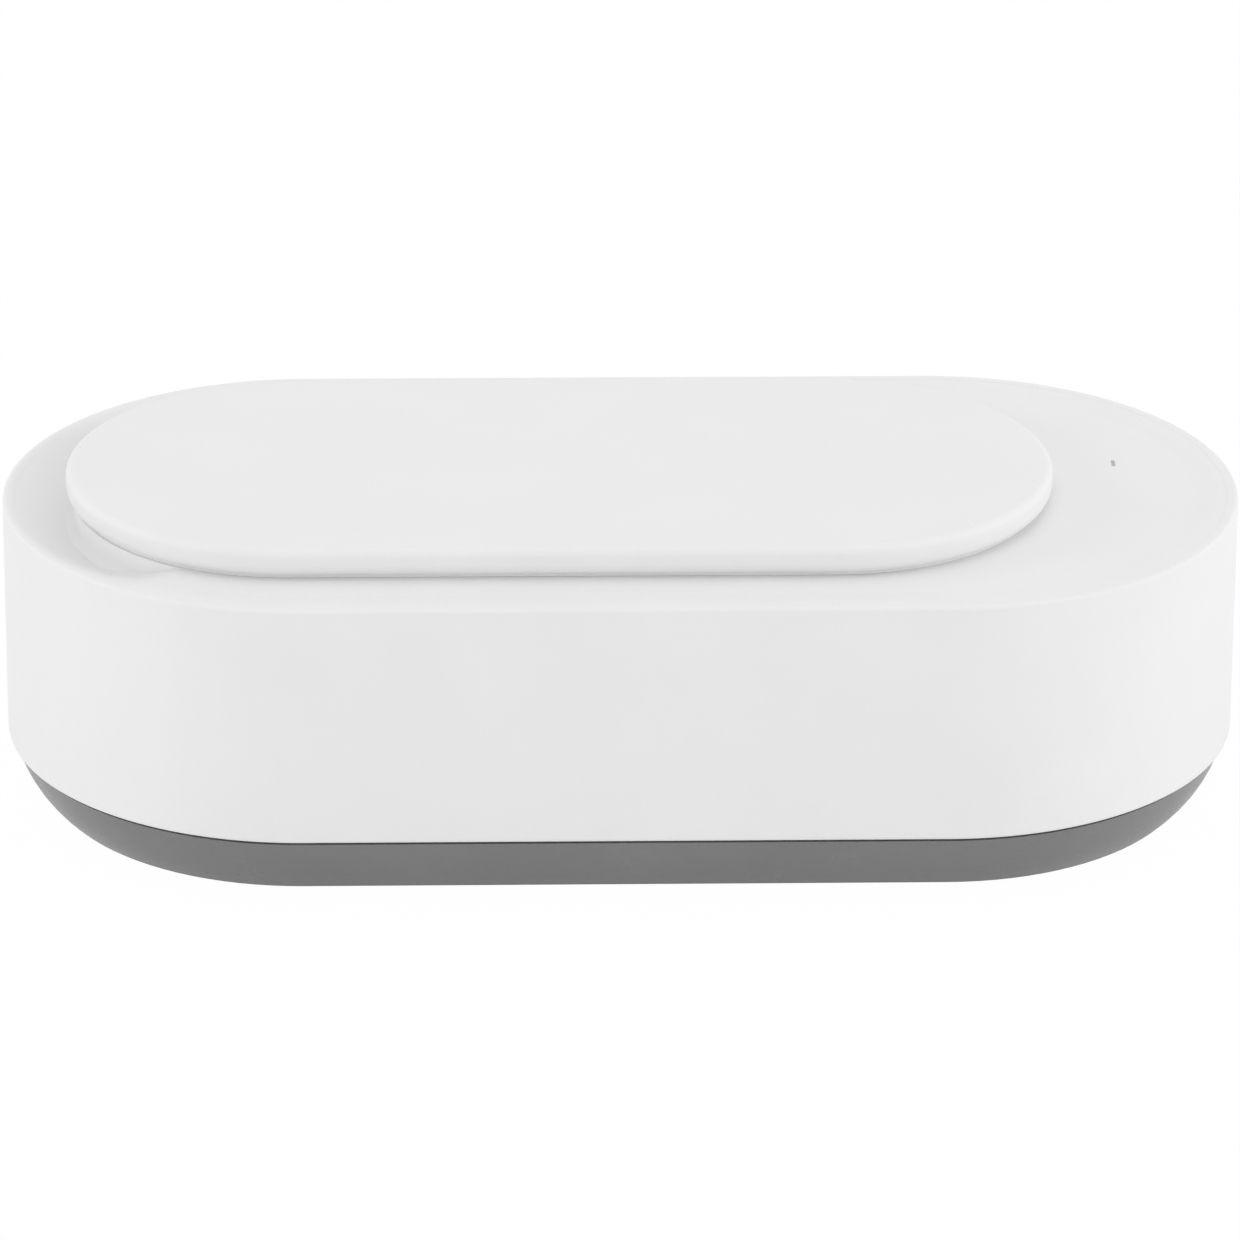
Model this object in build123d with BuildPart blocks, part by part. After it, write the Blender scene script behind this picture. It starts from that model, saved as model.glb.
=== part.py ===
# Contact lens cleaner: an oval case that holds two ultrasonic lens cups under a lift-off lid.
# The origin is the middle of the underside, at the height where the feet stand.
# +X points to the touch key, -Y is the front and +Z is up. All sizes are in millimetres.
# The case is laid out from the inside: the cups set the pan, the pan sets the lid, and the
# margins around the lid set the case. Its height is the stack from the base to the deck.

import os
from math import cos, radians, sin

from build123d import *

os.makedirs("parts", exist_ok=True)

# ---- Clearance between pieces that drop into one another
fit_gap = 0.1

# ---- Lens cups
cup_pitch = 36.0
cup_radius = 10.9
cup_depth = 10.5
cup_sheet = 0.5
cup_flange_width = 0.8
cup_mouth_round = 0.7
cup_floor_round = 3.0
cup_seat_depth = 0.7
gasket_thickness = 0.5

# ---- Wet pan in the deck, around the cups
pan_side_margin = 0.85
pan_end_margin = 4.7
pan_depth = 3.3
pan_wall = 1.6
pan_floor_thickness = 2.0
pan_edge_round = 0.6
pan_corner_round = 0.8

# ---- Lid over the pan
lid_overhang = 5.0
lid_rise = 2.64
lid_float = 0.1
lid_top_round = 0.7
lid_under_round = 1.0
lid_skirt = 1.55
liner_flange = 0.9
liner_wall = 1.2
liner_play = 0.6
liner_clearance = 0.7
seal_width = 1.7
seal_inset = 0.1
seal_groove = 0.2
seal_gap = 0.05

# ---- Plugs of the lens cups
plug_gap = 0.2
plug_groove = 0.8
plug_height = 3.0
plug_lip_height = 0.5
plug_lip_pitch = 0.95
plug_nose = 0.6

# ---- Margins of the deck around the lid
lid_left_margin = 5.15
lid_side_margin = 6.25
key_deck_length = 15.05

# ---- Rim of the shell and the deck that lies in it
shell_wall = 2.0
rim_lip = 0.95
rim_round = 0.3
rim_inner_round = 0.15
shell_foot_round = 0.5
deck_drop = 0.2
deck_thickness = 1.8
deck_edge_round = 0.2

# ---- Ribs inside the shell
rib_count = 5
rib_pitch = 11.0
rib_depth = 1.2
rib_width = 1.0

# ---- Finger scoop round the left end of the lid, level in the middle and lifting out at its ends
scoop_slope = 5.6
scoop_depth = 2.15
scoop_reach = 62.0
scoop_level_share = 0.5
scoop_exit_lift = 2.8
scoop_steps = 6
scoop_inner_step = 3.0
scoop_edge_lift = 0.05
scoop_head = 0.5
scoop_tuck = 0.6
scoop_cove = 0.8
scoop_pad = 1.6

# ---- Grey base
foot_stand = 0.6
base_height = 5.35
base_floor = 2.0
base_top_inset = 0.5
base_middle_inset = 1.5
base_bottom_inset = 3.5
base_middle_height = 2.5
shadow_gap = 0.3
ledge_inset = 1.1
tongue_thickness = 1.2
tongue_height = 1.2
cavity_draw = 1.0

# ---- Case screws, with the base's bosses and the deck's posts that they join
boss_radius = 2.8
boss_inset = 5.9
boss_angle = 55.0
boss_height = 9.4
screw_radius = 1.1
screw_length = 16.0
screw_head_radius = 2.0
screw_head_height = 1.4
screw_head_depth = 0.4
screw_play = 0.2
pilot_play = 0.05

# ---- Feet
foot_radius = 4.0
foot_seat = 0.8
foot_edge = 1.8
foot_arc_setback = 0.7
foot_round = 0.3

# ---- Ultrasonic transducers
plate_radius = 8.0
plate_thickness = 1.4
disc_radius = 7.5
disc_thickness = 2.0
disc_clearance = 0.9

# ---- Battery
battery_length, battery_width, battery_height = 25.0, 20.0, 4.5
battery_step = 8.55
battery_round = 1.2
pad_thickness = 0.5
pad_inset = 2.0
cradle_wall = 1.0
cradle_height = 3.6
cradle_gap = 0.3

# ---- Main board
board_thickness = 1.6
board_lift = 0.45
board_edge_gap = 0.7
board_battery_gap = 1.5
board_notch = 0.8
standoff_radius = 2.0
standoff_edge = 2.8
standoff_left_step = 2.5
standoff_front_step = 10.95
standoff_rear_step = 15.45
standoff_rear_edge = 3.8
board_screw_radius = 0.8
board_screw_length = 4.5
board_screw_head_radius = 1.6
board_screw_head_height = 1.2

# ---- Parts on the main board
transformer_step, transformer_y = 19.35, -7.5
transformer_length, transformer_width, transformer_height = 11.0, 8.0, 10.5
transformer_core_wall = 1.8
transformer_post_radius = 2.0
winding_gap = 0.3
inductor_radius, inductor_height = 4.0, 6.0
inductor_waist, inductor_flange = 2.6, 1.2
storage_step, storage_y = 18.95, 7.6
storage_radius, storage_height, storage_round = 4.0, 10.0, 0.4
film_step, film_y = 2.6, 15.4
film_length, film_width, film_height, film_chamfer = 10.0, 4.4, 8.0, 0.4
# Each chip: its step along X from the right cup, its Y, and its length, width and height
chips = (
    (-5.0, -13.5, 5.0, 5.0, 0.9),
    (3.0, -14.2, 5.0, 4.0, 1.1),
    (15.0, -15.4, 4.0, 4.0, 1.1),
    (-4.0, 13.6, 3.0, 3.0, 0.8),
    (13.2, 10.5, 1.7, 3.0, 1.1),
)
socket_length, socket_width, socket_height = 4.8, 4.4, 3.6
socket_step = 3.5
lead_socket_y = -12.5
battery_socket_y = 10.2

# ---- Charging socket
usb_step = 4.95
usb_width, usb_height, usb_length = 8.94, 3.26, 7.35
usb_sheet = 0.3
usb_setback = 1.4
usb_tongue_width, usb_tongue_height, usb_tongue_length = 6.7, 0.7, 5.0
usb_play = 0.17
port_margin = 1.07
port_depth = 0.9

# ---- Leads
lead_radius = 0.4
lead_bend = 1.3
socket_pin_step = 1.0
lead_turn_step = 6.0

# ---- Touch key, placed from the right end of the case
key_inset = 10.0
touch_board_length, touch_board_width, touch_board_thickness = 11.0, 18.0, 1.0
touch_boss_radius = 1.7
touch_boss_height = 2.5
touch_boss_steps = ((-3.2, 7.2), (3.4, -6.9))
touch_screw_radius = 0.75
touch_screw_length = 2.8
touch_screw_head_radius = 1.4
touch_screw_head_height = 0.9
electrode_y = -1.2
electrode_radius = 4.0
window_step, window_y = 0.35, 5.36
window_width, window_length = 0.3, 1.2
window_gap = 0.05
light_foot_width, light_foot_length, light_foot_height = 2.4, 3.6, 1.0
led_width, led_length, led_height = 0.8, 1.6, 0.6

# ---- Ribbon cable
ribbon_width = 4.4
ribbon_thickness = 0.3
ribbon_bend = 1.5
ribbon_reach_step = 3.8
connector_width, connector_length, connector_height = 6.0, 3.0, 1.2
upper_connector_step = -2.3
lower_connector_step = 0.2

# ---- Plan of the cups, the pan, the lid and the case
cup_outer_radius = cup_radius + cup_sheet
cup_flange_radius = cup_outer_radius + cup_flange_width
gasket_inner_radius = cup_outer_radius + cup_mouth_round - cup_sheet + fit_gap
pan_width = 2 * (cup_flange_radius + pan_side_margin)
pan_length = cup_pitch + 2 * (cup_flange_radius + pan_end_margin)
lid_width = pan_width + 2 * lid_overhang
lid_length = pan_length + 2 * lid_overhang
body_width = lid_width + 2 * lid_side_margin
body_length = lid_left_margin + lid_length + key_deck_length
half_width = body_width / 2
arc_x = (body_length - body_width) / 2
lid_x = (lid_left_margin - key_deck_length) / 2
well_left_x = lid_x - cup_pitch / 2
well_right_x = lid_x + cup_pitch / 2
well_sides = (("left", well_left_x), ("right", well_right_x))
key_x = body_length / 2 - key_inset

# ---- Levels, from the table up
base_bottom = foot_stand
floor_top = base_bottom + base_floor
seam = base_bottom + base_height
board_top = seam + tongue_height + board_lift
board_under = board_top - board_thickness
disc_under = board_top + disc_clearance
plate_under = disc_under + disc_thickness
cup_under = plate_under + plate_thickness
cup_floor = cup_under + cup_sheet
flange_top = cup_floor + cup_depth
gasket_seat = flange_top - cup_sheet - gasket_thickness
pan_floor = gasket_seat + cup_seat_depth
pan_under = pan_floor - pan_floor_thickness
deck_top = pan_floor + pan_depth
deck_under = deck_top - deck_thickness
rim_top = deck_top + deck_drop
shell_height = rim_top - seam
boss_top = floor_top + boss_height
case_screw_seat = base_bottom + screw_head_depth + screw_head_height
battery_under = floor_top + pad_thickness
battery_top = battery_under + battery_height
touch_board_top = deck_under - touch_boss_height
touch_board_under = touch_board_top - touch_board_thickness
lid_top = deck_top + lid_rise
cap_under = deck_top + lid_float
liner_top = cap_under + liner_flange
liner_under = pan_floor + liner_clearance
seal_under = deck_top + seal_gap
usb_level = board_top + usb_height / 2

# ---- Places
four_corners = ((-1, -1), (1, -1), (-1, 1), (1, 1))
boss_x = arc_x + (half_width - boss_inset) * cos(radians(boss_angle))
boss_y = (half_width - boss_inset) * sin(radians(boss_angle))
boss_places = [(boss_x * side, boss_y * depth) for side, depth in four_corners]
foot_x = arc_x - foot_arc_setback
foot_y = half_width - base_bottom_inset - foot_edge - foot_radius
foot_places = [(foot_x * side, foot_y * depth) for side, depth in four_corners]
battery_right = lid_x - battery_step
battery_x = battery_right - battery_length / 2
board_left = battery_right + board_battery_gap
board_inset = shell_wall + fit_gap + tongue_thickness + board_edge_gap
standoff_y = half_width - board_inset - standoff_edge
standoff_rear_y = half_width - board_inset - standoff_rear_edge
standoff_places = (
    (board_left + standoff_left_step, -standoff_y),
    (board_left + standoff_left_step, standoff_y),
    (well_right_x + standoff_front_step, -standoff_y),
    (well_right_x + standoff_rear_step, standoff_rear_y),
)
touch_boss_places = [(key_x + step, y) for step, y in touch_boss_steps]
window_x = key_x + window_step
left_socket_x = lid_x - socket_step
right_socket_x = lid_x + socket_step
usb_x = well_right_x + usb_step
usb_front = half_width - usb_setback
upper_connector_x = key_x + upper_connector_step
lower_connector_x = key_x + lower_connector_step

up_from = (Align.CENTER, Align.CENTER, Align.MIN)
down_from = (Align.CENTER, Align.CENTER, Align.MAX)


def body_oval(inset, mode=Mode.ADD):
    # The case's plan, drawn in by an even inset.
    SlotOverall(body_length - 2 * inset, body_width - 2 * inset, mode=mode)


def pan_oval(grow, mode=Mode.ADD):
    # The wet pan's plan, grown by an even margin.
    with Locations((lid_x, 0)):
        SlotOverall(pan_length + 2 * grow, pan_width + 2 * grow, mode=mode)


def lid_oval(inset, mode=Mode.ADD):
    # The lid's plan, drawn in by an even inset.
    with Locations((lid_x, 0)):
        SlotOverall(lid_length - 2 * inset, lid_width - 2 * inset, mode=mode)


def write_part(piece, name):
    piece.label = name
    export_step(piece, f"parts/{name}.step")


# ---- Finger scoop: it rolls over the rim round the lid's left end, and its ends lift out of the deck
def scoop_section(share):
    # One slice through the scoop, at a share of its reach to either side of the case's long axis.
    turn = 180 + share * scoop_reach
    past_level = max(abs(share) - scoop_level_share, 0) / (1 - scoop_level_share)
    lift = scoop_exit_lift * past_level**2
    axis_origin = (-arc_x, 0, rim_top + lift)
    outward = (cos(radians(turn)), sin(radians(turn)), 0)
    across = (sin(radians(turn)), -cos(radians(turn)), 0)
    with BuildSketch(Plane(origin=axis_origin, x_dir=outward, z_dir=across)) as section:
        with BuildLine():
            edge_point = (half_width, scoop_edge_lift)
            floor_point = (half_width - scoop_slope, -deck_drop - scoop_depth)
            inner_point = (half_width - scoop_slope - scoop_inner_step, -deck_drop - scoop_depth)
            Spline(edge_point, floor_point, tangents=((-1, 0), (-1, 0)))
            Polyline(
                floor_point,
                inner_point,
                (half_width - scoop_slope - scoop_inner_step, scoop_head),
                (half_width, scoop_head),
                edge_point,
            )
        make_face()
    return section.sketch.faces()[0]


with BuildPart() as finger_scoop:
    loft([scoop_section(step / scoop_steps) for step in range(-scoop_steps, scoop_steps + 1)])
    island_foot = deck_top - scoop_depth - scoop_head
    island_top = rim_top + scoop_exit_lift + scoop_head
    with BuildSketch(Plane.XY.offset(island_foot)):
        lid_oval(scoop_tuck)
    extrude(amount=island_top - island_foot, mode=Mode.SUBTRACT)
    # Cove round the foot of the lid's seat
    seat_wall = finger_scoop.faces().filter_by(GeomType.CYLINDER)[0]
    seat_foot = seat_wall.edges().sort_by(Axis.Z)[0]
    fillet(seat_foot, radius=scoop_cove)


# ---- Outer shell: the side wall, with the lip and ledge that take the deck
with BuildPart() as outer_shell:
    with BuildSketch(Plane.XY.offset(seam)):
        body_oval(0)
        body_oval(shell_wall, mode=Mode.SUBTRACT)
    extrude(amount=shell_height)

    with BuildSketch(Plane.XY.offset(deck_under)):
        body_oval(rim_lip)
    extrude(amount=deck_drop + deck_thickness, mode=Mode.SUBTRACT)

    lip = outer_shell.faces().sort_by(Axis.Z)[-1]
    fillet(lip.outer_wire().edges(), radius=rim_round)
    lip = outer_shell.faces().filter_by(GeomType.PLANE).sort_by(Axis.Z)[-1]
    fillet(lip.inner_wires()[0].edges(), radius=rim_inner_round)
    foot = outer_shell.faces().sort_by(Axis.Z)[0]
    fillet(foot.outer_wire().edges(), radius=shell_foot_round)

    add(finger_scoop.part, mode=Mode.SUBTRACT)

    # Ribs that stiffen the straight walls above the base's tongue
    rib_foot = seam + tongue_height + fit_gap
    with BuildSketch(Plane.XY.offset(rib_foot)):
        rib_row = 2 * (half_width - shell_wall) - rib_depth
        with GridLocations(rib_pitch, rib_row, rib_count, 2):
            Rectangle(rib_width, rib_depth)
    extrude(amount=deck_under - rib_foot)

    # Opening for the charging plug, with a shallow oval dish around it
    port_plane = Plane.XZ.offset(-half_width)
    with BuildSketch(port_plane):
        with Locations((usb_x, usb_level)):
            SlotOverall(usb_width + 2 * port_margin, usb_height + 2 * port_margin)
    extrude(amount=port_depth, mode=Mode.SUBTRACT)
    with BuildSketch(port_plane):
        with Locations((usb_x, usb_level)):
            SlotOverall(usb_width + 2 * usb_play, usb_height + 2 * usb_play)
    extrude(amount=shell_wall + rib_depth, mode=Mode.SUBTRACT)

write_part(outer_shell.part, "outer_shell")


# ---- Top deck: the inset panel with its wet pan, cup seats, scoop and screw posts
with BuildPart() as top_deck:
    with BuildSketch(Plane.XY.offset(deck_under)):
        body_oval(rim_lip + fit_gap)
    extrude(amount=deck_thickness)
    deck_face = top_deck.faces().sort_by(Axis.Z)[-1]
    fillet(deck_face.edges(), radius=deck_edge_round)

    with BuildSketch(Plane.XY.offset(pan_under)):
        pan_oval(pan_wall)
    extrude(amount=deck_under - pan_under)

    # Thicker skin under the scoop
    with BuildSketch(Plane.XY.offset(deck_under - scoop_pad)):
        body_oval(shell_wall + 2 * fit_gap)
        pan_oval(pan_wall / 2, mode=Mode.SUBTRACT)
        with Locations((-arc_x, 0)):
            Rectangle(body_length, body_width, align=(Align.MIN, Align.CENTER), mode=Mode.SUBTRACT)
    extrude(amount=scoop_pad)
    add(finger_scoop.part, mode=Mode.SUBTRACT)

    with BuildSketch(Plane.XY.offset(pan_floor)):
        pan_oval(0)
    extrude(amount=pan_depth, mode=Mode.SUBTRACT)
    pan_face = top_deck.faces().filter_by(GeomType.PLANE).group_by(Axis.Z)[-1][0]
    pan_edge = pan_face.inner_wires().sort_by(SortBy.LENGTH)[-1]
    fillet(pan_edge.edges(), radius=pan_edge_round)
    floor_face = top_deck.faces().filter_by_position(Axis.Z, pan_floor, pan_floor)[0]
    fillet(floor_face.outer_wire().edges(), radius=pan_corner_round)

    with Locations((well_left_x, 0, pan_floor), (well_right_x, 0, pan_floor)):
        CounterBoreHole(
            radius=cup_outer_radius + fit_gap,
            counter_bore_radius=cup_flange_radius + fit_gap,
            counter_bore_depth=cup_seat_depth,
            depth=pan_floor_thickness,
        )

    # Posts that the case screws bite into
    post_foot = boss_top + fit_gap
    with Locations(*((x, y, post_foot) for x, y in boss_places)):
        Cylinder(boss_radius, deck_under - post_foot, align=up_from)
        pilot_radius = screw_radius + pilot_play
        pilot_depth = screw_length - (boss_top - case_screw_seat)
        Cylinder(pilot_radius, pilot_depth + fit_gap, align=up_from, mode=Mode.SUBTRACT)

    # Posts for the touch board
    with Locations(*((x, y, touch_board_top) for x, y in touch_boss_places)):
        Cylinder(touch_boss_radius, touch_boss_height, align=up_from)
        pilot_depth = touch_screw_length - touch_board_thickness
        Cylinder(touch_screw_radius + pilot_play, pilot_depth + fit_gap, align=up_from, mode=Mode.SUBTRACT)

    # Slot of the status light
    with BuildSketch(Plane.XY.offset(deck_under)):
        with Locations((window_x, window_y)):
            Rectangle(window_width + 2 * window_gap, window_length + 2 * window_gap)
    extrude(amount=deck_thickness, mode=Mode.SUBTRACT)

write_part(top_deck.part, "top_deck")


# ---- Status light: a thin bar flush with the deck, on a wider foot that catches the light
with BuildPart() as status_light_pipe:
    with Locations((window_x, window_y, deck_under)):
        Box(light_foot_width, light_foot_length, light_foot_height, align=down_from)
        Box(window_width, window_length, deck_thickness, align=up_from)

write_part(status_light_pipe.part, "status_light_pipe")


# ---- Base cover: the grey tray, drawn in towards the table
# One moulded section runs all round it: the curved outer wall, the shadow gap, the ledge that
# carries the shell and the tongue that holds it in line.
with BuildPart() as base_cover:
    tongue_outer = half_width - shell_wall - fit_gap
    tongue_inner = tongue_outer - tongue_thickness
    cavity_foot = tongue_inner - cavity_draw
    with BuildSketch(Plane.YZ.offset(arc_x)) as base_section:
        with BuildLine():
            lower_edge = (half_width - base_bottom_inset, base_bottom)
            middle_point = (half_width - base_middle_inset, base_bottom + base_middle_height)
            upper_edge = (half_width - base_top_inset, seam - shadow_gap)
            ThreePointArc(lower_edge, middle_point, upper_edge)
            Polyline(
                upper_edge,
                (half_width - ledge_inset, seam - shadow_gap),
                (half_width - ledge_inset, seam),
                (tongue_outer, seam),
                (tongue_outer, seam + tongue_height),
                (tongue_inner, seam + tongue_height),
                (tongue_inner, seam),
                (cavity_foot, floor_top),
                (0, floor_top),
                (0, base_bottom),
                lower_edge,
            )
        make_face()
    revolve(axis=Axis((arc_x, 0, 0), (0, 0, -1)), revolution_arc=180)
    mirror(about=Plane.YZ)
    with BuildSketch(Plane.YZ.offset(arc_x)):
        add(base_section.sketch_local)
        mirror(about=Plane.YZ)
    extrude(amount=-2 * arc_x)

    # Bosses that meet the deck's posts
    with Locations(*((x, y, floor_top) for x, y in boss_places)):
        Cylinder(boss_radius, boss_height, align=up_from)
    with Locations(*((x, y, base_bottom) for x, y in boss_places)):
        head_depth = case_screw_seat - base_bottom
        Cylinder(screw_head_radius + screw_play, head_depth, align=up_from, mode=Mode.SUBTRACT)
        Cylinder(screw_radius + screw_play, boss_top - base_bottom, align=up_from, mode=Mode.SUBTRACT)

    # Standoffs of the main board
    with Locations(*((x, y, floor_top) for x, y in standoff_places)):
        Cylinder(standoff_radius, board_under - floor_top, align=up_from)
    with Locations(*((x, y, board_under) for x, y in standoff_places)):
        pilot_depth = board_screw_length - board_thickness
        Cylinder(board_screw_radius + pilot_play, pilot_depth, align=down_from, mode=Mode.SUBTRACT)

    # Cradle of the battery
    cradle_length = battery_length + 2 * (cradle_gap + cradle_wall)
    cradle_width = battery_width + 2 * (cradle_gap + cradle_wall)
    with BuildSketch(Plane.XY.offset(floor_top)):
        with Locations((battery_x, 0)):
            RectangleRounded(cradle_length, cradle_width, battery_round + cradle_wall)
            inner_length = cradle_length - 2 * cradle_wall
            inner_width = cradle_width - 2 * cradle_wall
            RectangleRounded(inner_length, inner_width, battery_round, mode=Mode.SUBTRACT)
            Rectangle(cradle_length, battery_width / 2, mode=Mode.SUBTRACT)
            Rectangle(battery_length / 2, cradle_width, mode=Mode.SUBTRACT)
    extrude(amount=cradle_height)

    # Round seats of the rubber feet
    with Locations(*((x, y, base_bottom) for x, y in foot_places)):
        Cylinder(foot_radius + fit_gap, foot_seat, align=up_from, mode=Mode.SUBTRACT)

write_part(base_cover.part, "base_cover")


# ---- Rubber feet
def rubber_foot(x, y):
    with BuildPart() as foot:
        with Locations((x, y, 0)):
            Cylinder(foot_radius, foot_stand + foot_seat, align=up_from)
        fillet(foot.edges().group_by(Axis.Z)[0], radius=foot_round)
    return foot.part


foot_names = ("foot_front_left", "foot_front_right", "foot_rear_left", "foot_rear_right")
for foot_name, (x, y) in zip(foot_names, foot_places):
    write_part(rubber_foot(x, y), foot_name)


# ---- Screws
def screw_group(places, seat, head_radius, head_height, shank_radius, shank_length, head_side):
    # Pan-head screws that stand on one level; head_side is the side of it that the heads are on.
    head_align, shank_align = (up_from, down_from) if head_side == "above" else (down_from, up_from)
    with BuildPart() as screws:
        with Locations(*((x, y, seat) for x, y in places)):
            Cylinder(head_radius, head_height, align=head_align)
            Cylinder(shank_radius, shank_length, align=shank_align)
    return screws.part


base_screws = screw_group(
    boss_places,
    case_screw_seat,
    screw_head_radius,
    screw_head_height,
    screw_radius,
    screw_length,
    "below",
)
write_part(base_screws, "base_screws")

board_screws = screw_group(
    standoff_places,
    board_top,
    board_screw_head_radius,
    board_screw_head_height,
    board_screw_radius,
    board_screw_length - fit_gap,
    "above",
)
write_part(board_screws, "board_screws")

touch_board_screws = screw_group(
    touch_boss_places,
    touch_board_under,
    touch_screw_head_radius,
    touch_screw_head_height,
    touch_screw_radius,
    touch_screw_length,
    "below",
)
write_part(touch_board_screws, "touch_board_screws")


# ---- Lens cups: drawn from sheet, with a flange that hangs in the pan floor
def cup_section_plane(x, level):
    return Plane(origin=(x, 0, level), x_dir=(1, 0, 0), z_dir=(0, -1, 0))


def lens_cup(x):
    with BuildPart() as cup:
        with BuildSketch(cup_section_plane(x, cup_floor)):
            with BuildLine():
                FilletPolyline(
                    (cup_flange_radius, cup_depth),
                    (cup_radius, cup_depth),
                    (cup_radius, 0),
                    (0, 0),
                    radius=(cup_mouth_round, cup_floor_round),
                )
                offset(amount=cup_sheet, side=Side.LEFT)
            make_face()
        revolve(axis=Axis((x, 0, 0), (0, 0, 1)))
    return cup.part


def cup_gasket(x):
    with BuildPart() as gasket:
        with BuildSketch(Plane.XY.offset(gasket_seat)):
            with Locations((x, 0)):
                Circle(cup_flange_radius)
                Circle(gasket_inner_radius, mode=Mode.SUBTRACT)
        extrude(amount=gasket_thickness)
    return gasket.part


def flat_disc(x, under, radius, thickness):
    with BuildPart() as disc:
        with Locations((x, 0, under)):
            Cylinder(radius, thickness, align=up_from)
    return disc.part


def well_plug(x):
    with BuildPart() as plug:
        lip_radius = cup_radius - plug_gap
        with Locations((x, 0, liner_under)):
            Cylinder(lip_radius - plug_groove, plug_height, align=down_from)
        nose = plug.edges().filter_by(GeomType.CIRCLE).group_by(Axis.Z)[0]
        fillet(nose, radius=plug_nose)
        lip_levels = [liner_under - plug_lip_pitch * step for step in (1, 2)]
        with Locations(*((x, 0, level) for level in lip_levels)):
            Cylinder(lip_radius, plug_lip_height, align=down_from)
    return plug.part


for side_name, well_x in well_sides:
    write_part(lens_cup(well_x), f"lens_cup_{side_name}")
    write_part(cup_gasket(well_x), f"cup_gasket_{side_name}")
    plate = flat_disc(well_x, plate_under, plate_radius, plate_thickness)
    write_part(plate, f"transducer_plate_{side_name}")
    disc = flat_disc(well_x, disc_under, disc_radius, disc_thickness)
    write_part(disc, f"transducer_disc_{side_name}")
    write_part(well_plug(well_x), f"well_plug_{side_name}")


# ---- Lid cap: a low oval pad with a rolled edge, recessed below for the liner
with BuildPart() as lid_cap:
    with BuildSketch(Plane.XY.offset(cap_under)):
        lid_oval(0)
    extrude(amount=lid_top - cap_under)
    fillet(lid_cap.faces().sort_by(Axis.Z)[-1].edges(), radius=lid_top_round)
    fillet(lid_cap.faces().sort_by(Axis.Z)[0].edges(), radius=lid_under_round)
    with BuildSketch(Plane.XY.offset(cap_under)):
        lid_oval(lid_skirt)
    extrude(amount=liner_flange, mode=Mode.SUBTRACT)

write_part(lid_cap.part, "lid_cap")


# ---- Lid liner: a tray that drops into the pan, with a groove for the seal around it
with BuildPart() as lid_liner:
    with BuildSketch(Plane.XY.offset(cap_under)):
        lid_oval(lid_skirt + fit_gap)
    extrude(amount=liner_flange)
    with BuildSketch(Plane.XY.offset(liner_under)):
        pan_oval(-liner_play)
    extrude(amount=cap_under - liner_under)
    tray_foot = lid_liner.faces().sort_by(Axis.Z)[0]
    fillet(tray_foot.edges(), radius=pan_corner_round)
    with BuildSketch(Plane.XY.offset(liner_under + liner_wall)):
        pan_oval(-liner_play - liner_wall)
    extrude(amount=liner_top - liner_under - liner_wall, mode=Mode.SUBTRACT)
    seal_inner = pan_edge_round + seal_inset
    with BuildSketch(Plane.XY.offset(cap_under)):
        pan_oval(seal_inner + seal_width)
        pan_oval(seal_inner, mode=Mode.SUBTRACT)
    extrude(amount=seal_groove, mode=Mode.SUBTRACT)

write_part(lid_liner.part, "lid_liner")


# ---- Lid seal: a soft ring between the liner and the deck
with BuildPart() as lid_seal:
    with BuildSketch(Plane.XY.offset(seal_under)):
        pan_oval(seal_inner + seal_width)
        pan_oval(seal_inner, mode=Mode.SUBTRACT)
    extrude(amount=cap_under + seal_groove - seal_under)

write_part(lid_seal.part, "lid_seal")


# ---- Main board: it follows the round end of the case and is notched around the bosses
with BuildPart() as main_board:
    with BuildSketch(Plane.XY.offset(board_under)):
        body_oval(board_inset)
        with Locations((board_left, 0)):
            Rectangle(body_length, body_width, align=(Align.MIN, Align.CENTER), mode=Mode.INTERSECT)
        with Locations(*boss_places[1::2]):
            Circle(boss_radius + board_notch, mode=Mode.SUBTRACT)
        with Locations(*standoff_places):
            Circle(board_screw_radius + pilot_play, mode=Mode.SUBTRACT)
    extrude(amount=board_thickness)

write_part(main_board.part, "main_board")


# ---- Drive transformer: a pot core open at two sides, with its winding around the middle post
core_plane = Plane.XY.offset(board_top)
core_centre = (well_right_x + transformer_step, transformer_y)
with BuildPart() as drive_transformer_core:
    with BuildSketch(core_plane):
        with Locations(core_centre):
            Rectangle(transformer_length, transformer_width)
    extrude(amount=transformer_height)
    window_height = transformer_height - 2 * transformer_core_wall
    window_span = transformer_length - 2 * transformer_core_wall
    with Locations((*core_centre, board_top + transformer_core_wall)):
        Box(window_span, transformer_width, window_height, align=up_from, mode=Mode.SUBTRACT)
        Cylinder(transformer_post_radius, window_height, align=up_from)

write_part(drive_transformer_core.part, "drive_transformer_core")

with BuildPart() as drive_transformer_winding:
    winding_height = window_height - 2 * winding_gap
    with BuildSketch(core_plane.offset(transformer_core_wall + winding_gap)):
        with Locations(core_centre):
            Circle(window_span / 2 - winding_gap)
            Circle(transformer_post_radius + winding_gap, mode=Mode.SUBTRACT)
    extrude(amount=winding_height)

write_part(drive_transformer_winding.part, "drive_transformer_winding")


# ---- Boost inductor: a drum with a waist
with BuildPart() as boost_inductor:
    with Locations((lid_x, 0, board_top)):
        Cylinder(inductor_radius, inductor_flange, align=up_from)
        Cylinder(inductor_waist, inductor_height, align=up_from)
    with Locations((lid_x, 0, board_top + inductor_height)):
        Cylinder(inductor_radius, inductor_flange, align=down_from)

write_part(boost_inductor.part, "boost_inductor")


# ---- Capacitors
with BuildPart() as storage_capacitor:
    with Locations((well_right_x + storage_step, storage_y, board_top)):
        Cylinder(storage_radius, storage_height, align=up_from)
    fillet(storage_capacitor.edges().filter_by(GeomType.CIRCLE), radius=storage_round)

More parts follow.
